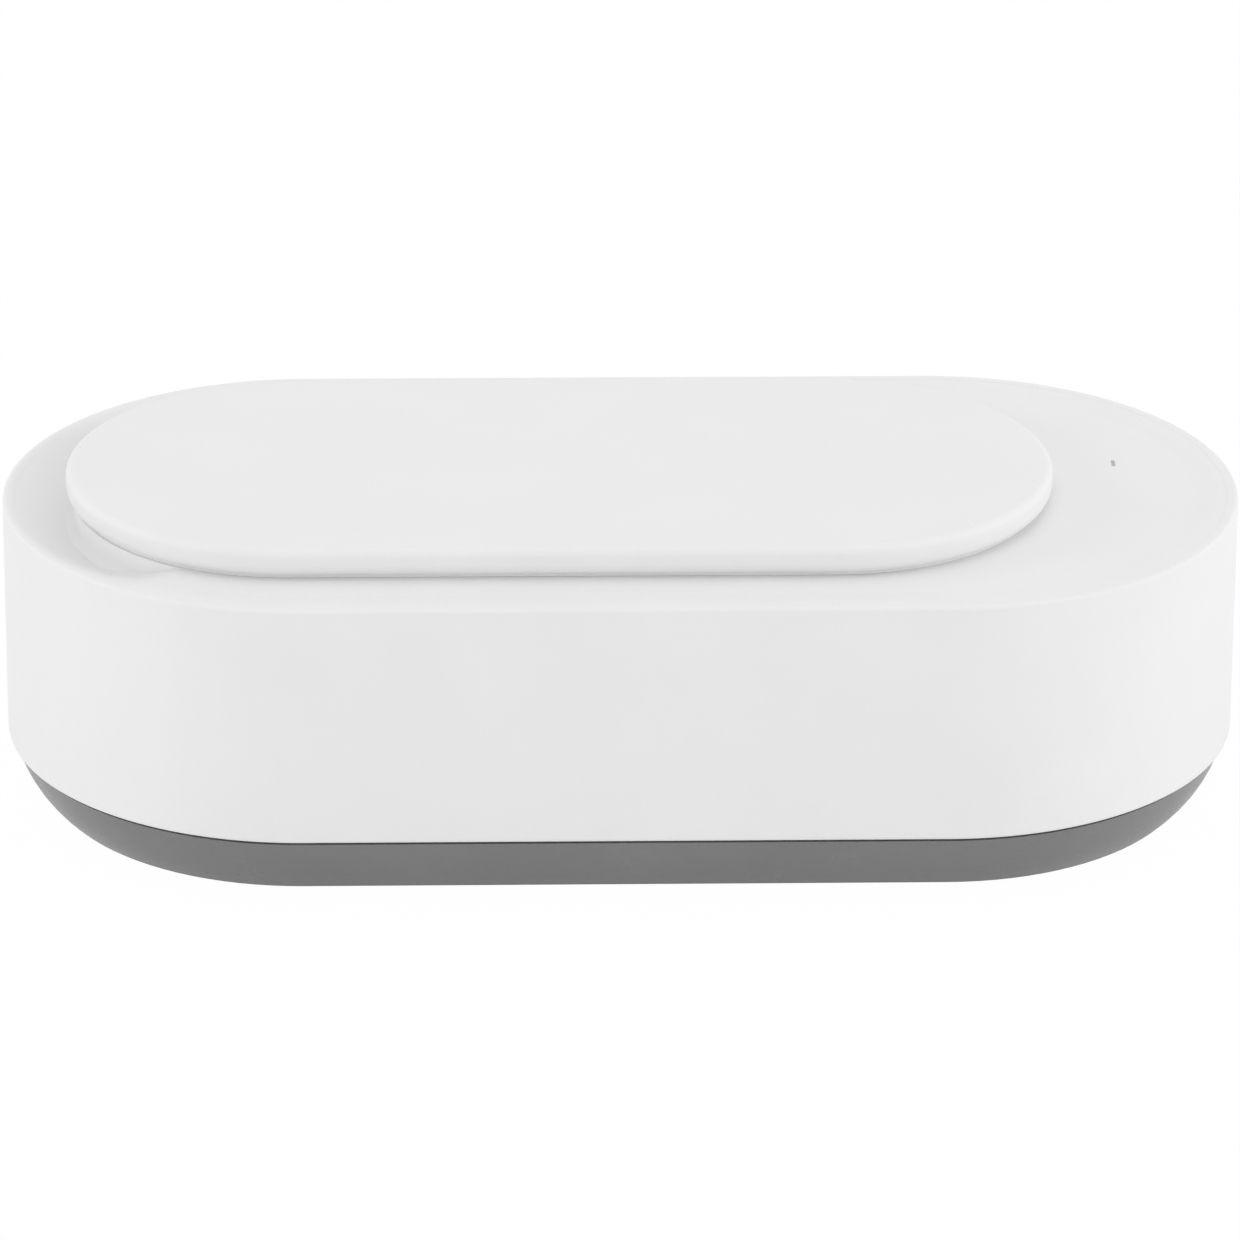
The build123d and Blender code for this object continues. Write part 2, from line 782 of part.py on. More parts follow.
write_part(storage_capacitor.part, "storage_capacitor")

with BuildPart() as film_capacitor:
    with Locations((lid_x + film_step, film_y, board_top)):
        Box(film_length, film_width, film_height, align=up_from)
    chamfer(film_capacitor.faces().sort_by(Axis.Z)[-1].edges(), length=film_chamfer)

write_part(film_capacitor.part, "film_capacitor")


# ---- Chips and sockets on the main board
with BuildPart() as driver_chips:
    for chip_step, chip_y, chip_length, chip_width, chip_height in chips:
        with Locations((well_right_x + chip_step, chip_y, board_top)):
            Box(chip_length, chip_width, chip_height, align=up_from)

write_part(driver_chips.part, "driver_chips")

socket_places = (
    (left_socket_x, lead_socket_y),
    (right_socket_x, lead_socket_y),
    (left_socket_x, battery_socket_y),
)
with BuildPart() as lead_sockets:
    with Locations(*((x, y, board_top) for x, y in socket_places)):
        Box(socket_length, socket_width, socket_height, align=up_from)

write_part(lead_sockets.part, "lead_sockets")


# ---- Charging socket at the back
usb_plane = Plane.XZ.offset(-usb_front)
with BuildPart() as usb_socket_shell:
    with BuildSketch(usb_plane):
        with Locations((usb_x, usb_level)):
            SlotOverall(usb_width, usb_height)
    extrude(amount=usb_length)
    with BuildSketch(usb_plane):
        with Locations((usb_x, usb_level)):
            SlotOverall(usb_width - 2 * usb_sheet, usb_height - 2 * usb_sheet)
    extrude(amount=usb_length - usb_sheet, mode=Mode.SUBTRACT)

write_part(usb_socket_shell.part, "usb_socket_shell")

with BuildPart() as usb_socket_tongue:
    tongue_root = usb_front - usb_length + usb_sheet
    with Locations((usb_x, tongue_root, usb_level)):
        Box(
            usb_tongue_width,
            usb_tongue_length,
            usb_tongue_height,
            align=(Align.CENTER, Align.MIN, Align.CENTER),
        )

write_part(usb_socket_tongue.part, "usb_socket_tongue")


# ---- Battery on its foam pad
with BuildPart() as battery_cell:
    with Locations((battery_x, 0, battery_under)):
        Box(battery_length, battery_width, battery_height, align=up_from)
    fillet(battery_cell.edges().filter_by(Axis.Z), radius=battery_round)

write_part(battery_cell.part, "battery_cell")

with BuildPart() as battery_pad:
    with Locations((battery_x, 0, floor_top)):
        pad_length = battery_length - 2 * pad_inset
        pad_width = battery_width - 2 * pad_inset
        Box(pad_length, pad_width, pad_thickness, align=up_from)

write_part(battery_pad.part, "battery_pad")


# ---- Touch key under the deck: board, sensing pad and light
with BuildPart() as touch_board:
    with BuildSketch(Plane.XY.offset(touch_board_under)):
        with Locations((key_x, 0)):
            RectangleRounded(touch_board_length, touch_board_width, touch_boss_radius)
        with Locations(*touch_boss_places):
            Circle(touch_screw_radius + pilot_play, mode=Mode.SUBTRACT)
    extrude(amount=touch_board_thickness)

write_part(touch_board.part, "touch_board")

with BuildPart() as touch_electrode:
    with Locations((key_x, electrode_y, touch_board_top)):
        Cylinder(electrode_radius, touch_boss_height, align=up_from)

write_part(touch_electrode.part, "touch_electrode")

with BuildPart() as status_led:
    with Locations((window_x, window_y, touch_board_top)):
        Box(led_width, led_length, led_height, align=up_from)

write_part(status_led.part, "status_led")


# ---- Ribbon cable from the touch board down to the main board
with BuildPart() as ribbon_connectors:
    with Locations((upper_connector_x, 0, touch_board_under)):
        Box(connector_length, connector_width, connector_height, align=down_from)
    with Locations((lower_connector_x, 0, board_top)):
        Box(connector_length, connector_width, connector_height, align=up_from)

write_part(ribbon_connectors.part, "ribbon_connectors")

with BuildPart() as ribbon_cable:
    with BuildSketch(Plane.XZ):
        with BuildLine() as ribbon_route:
            upper_level = touch_board_under - connector_height / 2
            lower_level = board_top + connector_height / 2
            FilletPolyline(
                (upper_connector_x + connector_length / 2, upper_level),
                (key_x + ribbon_reach_step, upper_level),
                (key_x + ribbon_reach_step, lower_level),
                (lower_connector_x + connector_length / 2, lower_level),
                radius=ribbon_bend,
            )
        trace(line_width=ribbon_thickness)
    extrude(amount=ribbon_width / 2, both=True)

write_part(ribbon_cable.part, "ribbon_cable")


# ---- Leads, each a round wire along straight runs and arcs
def lead(*points):
    with BuildPart() as wire:
        with BuildLine() as route:
            FilletPolyline(*points, radius=lead_bend)
        with BuildSketch(Plane(origin=route.line @ 0, z_dir=route.line % 0)):
            Circle(lead_radius)
        sweep(path=route.line)
    return wire.part


def put_leads(name, routes):
    with BuildPart() as leads:
        for points in routes:
            add(lead(*points))
    write_part(leads.part, name)


lead_entry = board_top + socket_height / 2
transducer_face = lead_socket_y + socket_width / 2
live_level = disc_under - lead_radius
return_level = plate_under + plate_thickness / 2
live_start = cup_pitch / 2 - disc_radius / 2
return_start = cup_pitch / 2 - plate_radius - lead_radius
live_pin = socket_step + socket_pin_step
return_pin = socket_step - socket_pin_step

put_leads(
    "transducer_live_leads",
    [
        (
            (lid_x + side * live_start, -3.0, live_level),
            (lid_x + side * lead_turn_step, -4.5, live_level),
            (lid_x + side * live_pin, -7.0, lead_entry),
            (lid_x + side * live_pin, transducer_face, lead_entry),
        )
        for side in (-1, 1)
    ],
)

put_leads(
    "transducer_return_leads",
    [
        (
            (lid_x + side * return_start, 0.0, return_level),
            (lid_x + side * lead_turn_step, -4.2, return_level),
            (lid_x + side * return_pin, -7.4, lead_entry),
            (lid_x + side * return_pin, transducer_face, lead_entry),
        )
        for side in (-1, 1)
    ],
)

battery_face = battery_socket_y - socket_width / 2
battery_lead_level = battery_top + lead_radius + pilot_play
battery_lead_start = battery_right - 1.5
outer_pin_x = left_socket_x - socket_pin_step
inner_pin_x = left_socket_x + socket_pin_step
put_leads(
    "battery_leads",
    [
        (
            (battery_lead_start, 4.2, battery_lead_level),
            (outer_pin_x - 1.2, 4.6, battery_lead_level),
            (outer_pin_x, 6.2, lead_entry),
            (outer_pin_x, battery_face, lead_entry),
        ),
        (
            (battery_lead_start, 1.8, battery_lead_level),
            (inner_pin_x - 3.0, 2.1, battery_lead_level),
            (inner_pin_x, 5.9, lead_entry),
            (inner_pin_x, battery_face, lead_entry),
        ),
    ],
)
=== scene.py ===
from math import cos, pi, radians, sin

import bpy
from mathutils import Matrix, Vector


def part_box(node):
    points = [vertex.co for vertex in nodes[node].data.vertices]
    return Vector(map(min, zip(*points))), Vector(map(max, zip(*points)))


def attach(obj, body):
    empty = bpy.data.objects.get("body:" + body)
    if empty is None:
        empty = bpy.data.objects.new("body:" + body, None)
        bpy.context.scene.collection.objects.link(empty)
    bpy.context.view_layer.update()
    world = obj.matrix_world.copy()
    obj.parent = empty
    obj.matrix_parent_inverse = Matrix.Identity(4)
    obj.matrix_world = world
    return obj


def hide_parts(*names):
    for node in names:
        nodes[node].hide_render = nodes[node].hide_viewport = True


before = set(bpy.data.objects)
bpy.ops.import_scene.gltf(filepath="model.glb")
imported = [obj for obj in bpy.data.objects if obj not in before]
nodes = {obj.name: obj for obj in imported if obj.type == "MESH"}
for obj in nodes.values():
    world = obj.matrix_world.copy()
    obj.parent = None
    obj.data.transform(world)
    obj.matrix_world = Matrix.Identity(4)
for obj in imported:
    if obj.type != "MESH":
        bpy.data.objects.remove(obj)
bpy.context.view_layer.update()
mm = 0.001

# Camera, in metres and degrees: it looks down on the front, with the deck's middle on its own pixel
viewFrom = {
    "deckCentre": (0.0, 0.0, 0.0261),
    "distance": 0.674,
    "yaw": -1.49,
    "elevation": 22.85,
    "roll": 0.28,
    "lens": 241.6,
    "sensor": 36.0,
    "nearest": 0.01,
    "farthest": 20,
    "deckPixel": (620.9, 489.1),
    "imageSide": 1240,
}


def placeCamera():
    yaw = radians(viewFrom["yaw"])
    lift = radians(viewFrom["elevation"])
    back = Vector((sin(yaw) * cos(lift), -cos(yaw) * cos(lift), sin(lift)))
    half = viewFrom["imageSide"] / 2
    focal = viewFrom["lens"] / viewFrom["sensor"] * viewFrom["imageSide"]
    column, row = viewFrom["deckPixel"]
    towardsPixel = Vector(((column - half) / focal, (half - row) / focal, -1)).normalized()
    level = back.to_track_quat("Z", "Y").to_matrix()
    rolled = level @ Matrix.Rotation(radians(viewFrom["roll"]), 3, "Z")
    swing = (rolled @ towardsPixel).rotation_difference(-back).to_matrix()
    spot = Vector(viewFrom["deckCentre"]) + viewFrom["distance"] * back
    bpy.ops.object.camera_add(location=spot, rotation=(swing @ rolled).to_euler())
    camera = bpy.context.object
    camera.name = "frontCamera"
    camera.data.lens = viewFrom["lens"]
    camera.data.sensor_width = viewFrom["sensor"]
    camera.data.clip_start = viewFrom["nearest"]
    camera.data.clip_end = viewFrom["farthest"]
    bpy.context.scene.camera = camera


placeCamera()
print("camera placed")

# Studio, in metres: an even white room, soft boxes around and over the case, and a faintly glowing floor
studio = {
    "room": 0.756,
    "boxesAim": (0, 0, 0.02),
    "floorColour": 0.8,
    "floorGlow": 0.124,
    "floorSide": 3.0,
    "roomPaper": {"Is Camera Ray": 1.0, "Is Glossy Ray": 1.0, "Is Transmission Ray": 1.0},
    "floorPaper": {"Is Camera Ray": 0.985, "Is Glossy Ray": 0.35, "Is Transmission Ray": 0.985},
}
# each soft box: where it stands, its width and height, its power in watts
softBoxes = {
    "leftBox": ((-1.0, 0.0, 0.3), 0.6, 0.5, 1.81),
    "rightBox": ((1.0, 0.0, 0.25), 0.6, 0.5, 2.3),
    "overBox": ((0.0, 0.0, 1.2), 1.0, 1.0, 1.56),
    "frontBox": ((0.0, -1.2, 0.3), 1.2, 0.5, 1.19),
}


def addNode(tree, kind, inputs=None):
    # one shader node, with its inputs set by their names
    node = tree.nodes.new(kind)
    for name, value in (inputs or {}).items():
        node.inputs[name].default_value = value
    return node


def paperWhiteFor(tree, shaded, shares):
    # what the lens or a gloss meets straight on is white paper, by the share given for each ray
    path = addNode(tree, "ShaderNodeLightPath")
    total = addNode(tree, "ShaderNodeValue").outputs[0]
    total.default_value = 0
    for ray, share in shares.items():
        adding = addNode(tree, "ShaderNodeMath")
        adding.operation = "MULTIPLY_ADD"
        adding.use_clamp = True
        tree.links.new(path.outputs[ray], adding.inputs[0])
        adding.inputs[1].default_value = share
        tree.links.new(total, adding.inputs[2])
        total = adding.outputs[0]
    white = addNode(tree, "ShaderNodeEmission", {"Color": (1, 1, 1, 1), "Strength": 1.0})
    blend = addNode(tree, "ShaderNodeMixShader")
    tree.links.new(total, blend.inputs["Fac"])
    tree.links.new(shaded.outputs[0], blend.inputs[1])
    tree.links.new(white.outputs[0], blend.inputs[2])
    return blend


def lightRoom():
    world = bpy.data.worlds.new("whiteRoom")
    bpy.context.scene.world = world
    world.use_nodes = True
    tree = world.node_tree
    tree.nodes.clear()
    room = addNode(tree, "ShaderNodeBackground", {"Color": (1, 1, 1, 1), "Strength": studio["room"]})
    seen = paperWhiteFor(tree, room, studio["roomPaper"])
    out = addNode(tree, "ShaderNodeOutputWorld")
    tree.links.new(seen.outputs[0], out.inputs["Surface"])


def hangSoftBoxes():
    for name, (spot, width, height, power) in softBoxes.items():
        facing = (Vector(spot) - Vector(studio["boxesAim"])).to_track_quat("Z", "Y").to_euler()
        bpy.ops.object.light_add(type="AREA", location=spot, rotation=facing)
        box = bpy.context.object
        box.name = name
        box.data.shape = "RECTANGLE"
        box.data.size = width
        box.data.size_y = height
        box.data.energy = power
        box.visible_glossy = False  # a gloss shows the white room and no hot spot


def layFloor():
    bpy.ops.mesh.primitive_plane_add(size=studio["floorSide"], location=(0, 0, 0))
    floor = bpy.context.object
    floor.name = "paperFloor"
    paper = bpy.data.materials.new("floorPaper")
    paper.use_nodes = True
    tree = paper.node_tree
    tree.nodes.clear()
    tone = studio["floorColour"]
    matt = addNode(tree, "ShaderNodeBsdfDiffuse", {"Color": (tone, tone, tone, 1)})
    glow = addNode(tree, "ShaderNodeEmission", {"Color": (1, 1, 1, 1), "Strength": studio["floorGlow"]})
    both = addNode(tree, "ShaderNodeAddShader")
    tree.links.new(matt.outputs[0], both.inputs[0])
    tree.links.new(glow.outputs[0], both.inputs[1])
    seen = paperWhiteFor(tree, both, studio["floorPaper"])
    out = addNode(tree, "ShaderNodeOutputMaterial")
    tree.links.new(seen.outputs[0], out.inputs["Surface"])
    floor.data.materials.append(paper)


lightRoom()
hangSoftBoxes()
layFloor()
bpy.context.scene.view_settings.view_transform = "Standard"
print("studio lit")

# Modelling by hand, in millimetres: one piece in edit mode at a time, its parts picked by where they are
bench = {
    "faceLevel": 0.002,  # faces this near a level lie on it
    "edgeLevel": 0.01,
    "samePoint": 0.0005,
    "straightUp": 0.9999,  # the upward share of a level face's normal
}


def openPiece(piece, kind):
    # nothing is picked yet, and the piece is left in object mode for the picking
    bpy.ops.object.select_all(action="DESELECT")
    bpy.context.view_layer.objects.active = piece
    piece.select_set(True)
    bpy.ops.object.mode_set(mode="EDIT")
    bpy.ops.mesh.select_mode(type=kind)
    bpy.ops.mesh.select_all(action="DESELECT")
    bpy.ops.object.mode_set(mode="OBJECT")


def pickAll(piece):
    openPiece(piece, "VERT")
    bpy.ops.object.mode_set(mode="EDIT")
    bpy.ops.mesh.select_all(action="SELECT")


def pickPoints(piece, wanted):
    openPiece(piece, "VERT")
    for point in piece.data.vertices:
        point.select = wanted(point.co / mm)
    bpy.ops.object.mode_set(mode="EDIT")


def pickEdges(piece, wanted):
    openPiece(piece, "EDGE")
    points = piece.data.vertices
    for edge in piece.data.edges:
        start, end = (points[index].co / mm for index in edge.vertices)
        edge.select = wanted(start, end)
    bpy.ops.object.mode_set(mode="EDIT")


def pickFaces(piece, wanted):
    openPiece(piece, "FACE")
    for face in piece.data.polygons:
        face.select = wanted(face.center / mm, face.normal)
    bpy.ops.object.mode_set(mode="EDIT")


def closePiece():
    bpy.ops.object.mode_set(mode="OBJECT")


def settle(piece):
    # the place and turn of a piece go into its mesh
    bpy.ops.object.select_all(action="DESELECT")
    bpy.context.view_layer.objects.active = piece
    piece.select_set(True)
    bpy.ops.object.transform_apply(location=True, rotation=True, scale=True)


def named(name):
    # the piece that was just added gets its name
    piece = bpy.context.object
    piece.name = name
    piece.data.name = name
    return piece


def addRound(name, x, y, radius, low, high, sides=64):
    bpy.ops.object.select_all(action="DESELECT")
    bpy.ops.mesh.primitive_cylinder_add(
        vertices=sides,
        radius=radius * mm,
        depth=(high - low) * mm,
        location=(x * mm, y * mm, (low + high) / 2 * mm),
        rotation=(0, 0, pi / sides),
    )
    piece = named(name)
    settle(piece)
    return piece


def addOval(name, x, length, width, low, high, sides=256):
    # a round bar, with its two halves moved apart
    piece = addRound(name, x, 0, width / 2, low, high, sides)
    for side in (-1, 1):
        pickPoints(piece, lambda spot: (spot.x - x) * side > 0)
        bpy.ops.transform.translate(value=(side * (length - width) / 2 * mm, 0, 0))
        closePiece()
    return piece


def addBlock(name, x, y, length, width, low, high):
    bpy.ops.object.select_all(action="DESELECT")
    bpy.ops.mesh.primitive_cube_add(size=mm, location=(x * mm, y * mm, (low + high) / 2 * mm))
    piece = named(name)
    piece.scale = (length, width, high - low)
    settle(piece)
    return piece


def stepCap(piece, level, facing, steps):
    # the flat cap at a level is drawn in and pushed out step by step, in millimetres
    def isCap(spot, normal):
        return abs(spot.z - level) < bench["faceLevel"] and normal.z * facing > bench["straightUp"]

    pickFaces(piece, isCap)
    for drawnIn, pushedOut in steps:
        bpy.ops.mesh.inset(thickness=drawnIn * mm, depth=pushedOut * mm)
    closePiece()


def roundEdge(piece, level, radius, segments, where=None):
    # rounds the rings of edges at a level, or only those that pass the test
    def isOnRing(start, end):
        flat = all(abs(spot.z - level) < bench["edgeLevel"] for spot in (start, end))
        return flat and (where is None or (where(start) and where(end)))

    pickEdges(piece, isOnRing)
    bpy.ops.mesh.bevel(offset=radius * mm, segments=segments, affect="EDGES", clamp_overlap=False)
    closePiece()


def carve(piece, tool, how="DIFFERENCE"):
    # cuts one piece with another, or adds it on, and takes the tool away
    bpy.ops.object.select_all(action="DESELECT")
    bpy.context.view_layer.objects.active = piece
    piece.select_set(True)
    cut = piece.modifiers.new("carve", "BOOLEAN")
    cut.operation = how
    cut.object = tool
    cut.solver = "EXACT"
    bpy.ops.object.modifier_apply(modifier="carve")
    bpy.data.objects.remove(tool)


def polish(piece, angle=30):
    # smooth faces that keep their crisp corners, led by the large flat faces
    pickAll(piece)
    bpy.ops.mesh.remove_doubles(threshold=bench["samePoint"] * mm)
    bpy.ops.mesh.normals_make_consistent(inside=False)
    closePiece()
    bpy.ops.object.shade_smooth_by_angle(angle=radians(angle))
    weights = piece.modifiers.new("weights", "WEIGHTED_NORMAL")
    weights.keep_sharp = True
    bpy.ops.object.modifier_apply(modifier="weights")


def quarterIn(radius, count):
    # steps of a quarter round that starts flat on the side and ends level
    steps = []
    for index in range(count):
        before, after = (pi / 2 * turn / count for turn in (index, index + 1))
        steps.append((radius * (cos(before) - cos(after)), radius * (sin(after) - sin(before))))
    return steps


def quarterOut(radius, count):
    # steps of a quarter round that starts level and ends straight down
    return [(across, along) for along, across in reversed(quarterIn(radius, count))]


def eased(part):
    # from 0 to 1, level at both ends
    return part * part * (3 - 2 * part)


def straightHalf(oval):
    # how far from an oval's middle its round ends are centred
    return (oval["length"] - oval["width"]) / 2


def grown(oval, margin):
    # the length and width of an oval with a margin added all round
    return oval["length"] + 2 * margin, oval["width"] + 2 * margin


# Lid cap: a low oval pad, rounded over its top edge and cut back under its wall
lid = {
    "middle": -4.95,
    "length": 79.8,
    "width": 36.1,
    "low": 25.92,
    "high": 28.54,
    "topRound": 0.7,
    "underCut": 1.1,
    "underTilt": 68,  # degrees from upright
    "underSteps": 12,
    "foot": 0.2,
    "skirt": 1.55,
    "recess": 0.9,
}


def makeLidCap():
    foot, cut, count = lid["foot"], lid["underCut"], lid["underSteps"]
    edge = lid["low"] + foot + cut
    piece = addOval("lidCap", lid["middle"], lid["length"], lid["width"], edge, lid["high"])
    roundEdge(piece, lid["high"], lid["topRound"], segments=8)
    # the wall turns inwards under its edge, ever flatter, and stands on a low upright foot
    turns = [radians(lid["underTilt"]) * index / count for index in range(1, count + 1)]
    share = cut / sum(cos(turn) for turn in turns)
    under = [(share * sin(turn), share * cos(turn)) for turn in turns]
    drawnIn = sum(step[0] for step in under)
    stepCap(piece, edge, -1, [*under, (0, foot), (lid["skirt"] - drawnIn, 0), (0, -lid["recess"])])
    polish(piece)
    return piece


# Finger scoop: it rolls over the rim round the lid's left end, and its ends lift out of the deck
scoop = {
    "edge": 26.15,
    "floor": 23.75,
    "slope": 5.6,
    "slopePoints": 20,
    "inner": 3.0,
    "top": 26.6,
    "reach": 62.0,  # degrees to either side
    "slices": 62,
    "levelShare": 0.45,  # of the reach, before the ends lift out
    "exitLift": 3.0,
    "exitSoft": 0.25,
    "thinnest": 0.01,  # share of the depth that every slice keeps
}
# the lid's seat, which stays standing in the scoop with a cove round its foot
seat = {
    "tuck": 0.6,  # inside the lid's edge, without the cove
    "cove": 0.9,
    "coveSteps": 6,
    "sink": 0.03,  # below the scoop's floor
    "root": 1.0,
    "height": 6.0,
}


def scoopDepth(share):
    # how deep a slice is next to the deepest one, at a share of the reach to either side;
    # it runs out softly into the rim
    past = max(abs(share) - scoop["levelShare"], 0) / (1 - scoop["levelShare"])
    depth = 1 - scoop["exitLift"] / (shell["rim"] - scoop["floor"]) * past * past
    soft = max(scoop["exitSoft"] - abs(depth), 0) ** 2 / (4 * scoop["exitSoft"])
    return max(depth, 0) + soft + scoop["thinnest"]


def scoopOutline():
    # distances inwards from the case's wall, and levels
    drop = scoop["edge"] - scoop["floor"]
    pull = (scoop["slope"] ** 2 + drop**2) ** 0.5
    outline = []
    for index in range(scoop["slopePoints"] + 1):
        part = index / scoop["slopePoints"]
        inward = scoop["slope"] * eased(part) + pull * part * (1 - part) * (1 - 2 * part)
        outline.append((inward, scoop["edge"] - drop * eased(part)))
    inner = scoop["slope"] + scoop["inner"]
    return [*outline, (inner, scoop["floor"]), (inner, scoop["top"]), (0, scoop["top"])]


def drawScoopSlice():
    # the outline as one upright face, drawn point after point inwards from the case's left end
    outline = scoopOutline()
    wall = -shell["length"] / 2
    bpy.ops.object.select_all(action="DESELECT")
    bpy.ops.mesh.primitive_plane_add(size=mm)
    tool = named("scoopTool")
    bpy.ops.object.mode_set(mode="EDIT")
    bpy.ops.mesh.select_mode(type="VERT")
    bpy.ops.mesh.select_all(action="SELECT")
    bpy.ops.mesh.merge(type="CENTER")
    bpy.ops.transform.translate(value=((wall + outline[0][0]) * mm, 0, outline[0][1] * mm))
    for before, after in zip(outline, outline[1:]):
        shift = ((after[0] - before[0]) * mm, 0, (after[1] - before[1]) * mm)
        bpy.ops.mesh.extrude_region_move(TRANSFORM_OT_translate={"value": shift})
    bpy.ops.mesh.select_all(action="SELECT")
    bpy.ops.mesh.edge_face_add()
    return tool


def makeSeat():
    foot = scoop["floor"] - seat["sink"]
    plan = grown(lid, seat["cove"] - seat["tuck"])
    piece = addOval("lidSeat", lid["middle"], *plan, foot - seat["root"], foot)
    cove = reversed(quarterIn(seat["cove"], seat["coveSteps"]))
    stepCap(piece, foot, 1, [*cove, (0, seat["height"])])
    return piece


def makeScoopTool():
    tool = drawScoopSlice()
    centre = (-straightHalf(shell) * mm, 0, 0)
    rim = (0, 0, shell["rim"] * mm)
    reach, count = radians(scoop["reach"]), scoop["slices"]
    bpy.ops.transform.rotate(value=reach, orient_axis="Z", center_override=centre)
    bpy.ops.transform.resize(value=(1, 1, scoopDepth(1)), center_override=rim)
    # slice after slice from one end to the other
    depths = [scoopDepth(1 - 2 * index / count) for index in range(count + 1)]
    for before, after in zip(depths, depths[1:]):
        bpy.ops.mesh.extrude_region()
        bpy.ops.transform.rotate(value=-2 * reach / count, orient_axis="Z", center_override=centre)
        bpy.ops.transform.resize(value=(1, 1, after / before), center_override=rim)
    bpy.ops.mesh.select_all(action="SELECT")
    bpy.ops.mesh.normals_make_consistent(inside=False)
    closePiece()
    carve(tool, makeSeat())
    return tool


# Outer shell: a straight oval wall, open at the top for the deck, with upright ribs inside
shell = {
    "length": 100.0,
    "width": 48.6,
    "foot": 5.95,
    "rim": 26.1,
    "lip": 0.95,
    "ledge": 24.1,
    "wall": 2.0,
    "rimRound": 0.3,
    "innerRound": 0.03,
    "footRound": 0.3,
    "ribCount": 5,
    "ribPitch": 11.0,
    "ribWidth": 1.0,
    "ribDepth": 1.2,
    "ribSink": 0.5,
    "ribFoot": 7.4,
}
# Charging port: a flared dish in the back wall, with the socket's slot through its floor
port = {
    "x": 18.0,
    "level": 9.23,
    "length": 11.08,
    "width": 5.4,
    "depth": 0.9,
    "flare": 0.15,
    "corner": 0.2,
    "roundSteps": 3,
    "slotWidth": 3.6,
    "slotDepth": 4.0,
    "cutPast": 1.0,  # how far the tool stands out of the wall
}


def makePortTool():
    # drawn lying flat, then stood up against the back wall
    flare, corner, count = port["flare"], port["corner"], port["roundSteps"]
    tool = addOval("portTool", 0, *grown(port, flare), 0, port["cutPast"], sides=96)
    straight = port["depth"] - flare - corner
    dish = [*quarterOut(flare, count), (0, straight), *quarterIn(corner, count)]
    slotEdge = (port["width"] - port["slotWidth"]) / 2 - corner
    stepCap(tool, 0, -1, [*dish, (slotEdge, 0), (0, port["slotDepth"])])
    tool.rotation_euler = (-pi / 2, 0, 0)
    tool.location = (port["x"] * mm, shell["width"] / 2 * mm, port["level"] * mm)
    settle(tool)
    return tool


def outFrom(spot):
    # how far a spot lies from the case's long middle line
    along = max(abs(spot.x) - straightHalf(shell), 0)
    return (along * along + spot.y * spot.y) ** 0.5


def addRibs(piece, innerHalf):
    # upright ribs along both long walls, sunk a little into them
    depth, sink, count = shell["ribDepth"], shell["ribSink"], shell["ribCount"]
    for side in (-1, 1):
        y = side * (innerHalf - depth / 2 + sink / 2)
        for index in range(count):
            x = (index - (count - 1) / 2) * shell["ribPitch"]
            size = (shell["ribWidth"], depth + sink, shell["ribFoot"], shell["ledge"])
            carve(piece, addBlock("rib", x, y, *size), "UNION")


def makeShell():
    half = shell["width"] / 2
    innerHalf = half - shell["wall"]

    def isInnerCap(spot, normal):
        return abs(normal.z) > bench["straightUp"] and outFrom(spot) < innerHalf / 2

    def isOutside(spot):
        return outFrom(spot) > half - shell["lip"] / 2

    def isInside(spot):
        return not isOutside(spot)

    foot, rim, lip = shell["foot"], shell["rim"], shell["lip"]
    piece = addOval("outerShell", 0, shell["length"], shell["width"], foot, rim)
    stepCap(piece, rim, 1, [(lip, 0), (0, shell["ledge"] - rim), (shell["wall"] - lip, 0)])
    stepCap(piece, foot, -1, [(shell["wall"], 0)])
    pickFaces(piece, isInnerCap)
    bpy.ops.mesh.bridge_edge_loops()
    closePiece()
    roundEdge(piece, rim, shell["rimRound"], segments=5, where=isOutside)
    roundEdge(piece, rim, shell["innerRound"], segments=3, where=isInside)
    roundEdge(piece, foot, shell["footRound"], segments=6, where=isOutside)
    addRibs(piece, innerHalf)
    carve(piece, makePortTool())
    carve(piece, makeScoopTool())
    polish(piece)
    return piece


# Top deck: the panel inside the rim, with its wet pan, cup seats, finger scoop, light slot and posts
deck = {
    "pressFit": 0.01,  # into the shell's lip, all round
    "top": 25.9,
    "edgeRound": 0.03,
    "marginRise": 0.18,
    "marginFlat": 0.3,
    "marginSlope": 2.4,
    "marginSteps": 6,
    "panInLid": 5.0,
    "panFloor": 22.6,
    "panUnder": 20.6,
    "panWall": 1.6,
    "panRound": 0.6,
    "panCorner": 0.8,
    "panSteps": 6,
    "wellPitch": 36.0,
    "wellRadius": 11.5,
    "cupSeatRadius": 12.3,
    "cupSeatLevel": 21.9,
    "padInCase": 2.2,
    "padLow": 22.5,
    "slotSpot": (40.35, 5.36),
    "slotWidth": 0.31,
    "slotLength": 1.21,
    "rooted": 0.4,  # how far what hangs below the panel reaches up into it
    "cutPast": 1.0,  # how far a tool reaches past what it cuts
}
# the posts below the deck, for the screws of the case and of the touch board
posts = {
    "case": {
        "spots": ((-36.25, -15.07), (-36.25, 15.07), (36.25, -15.07), (36.25, 15.07)),
        "radius": 2.8,
        "low": 12.1,
        "holeRadius": 1.15,
        "holeDepth": 9.1,
    },
    "touchBoard": {
        "spots": ((36.8, 7.2), (43.4, -6.9)),
        "radius": 1.7,
        "low": 21.6,
        "holeRadius": 0.8,
        "holeDepth": 1.9,
    },
}


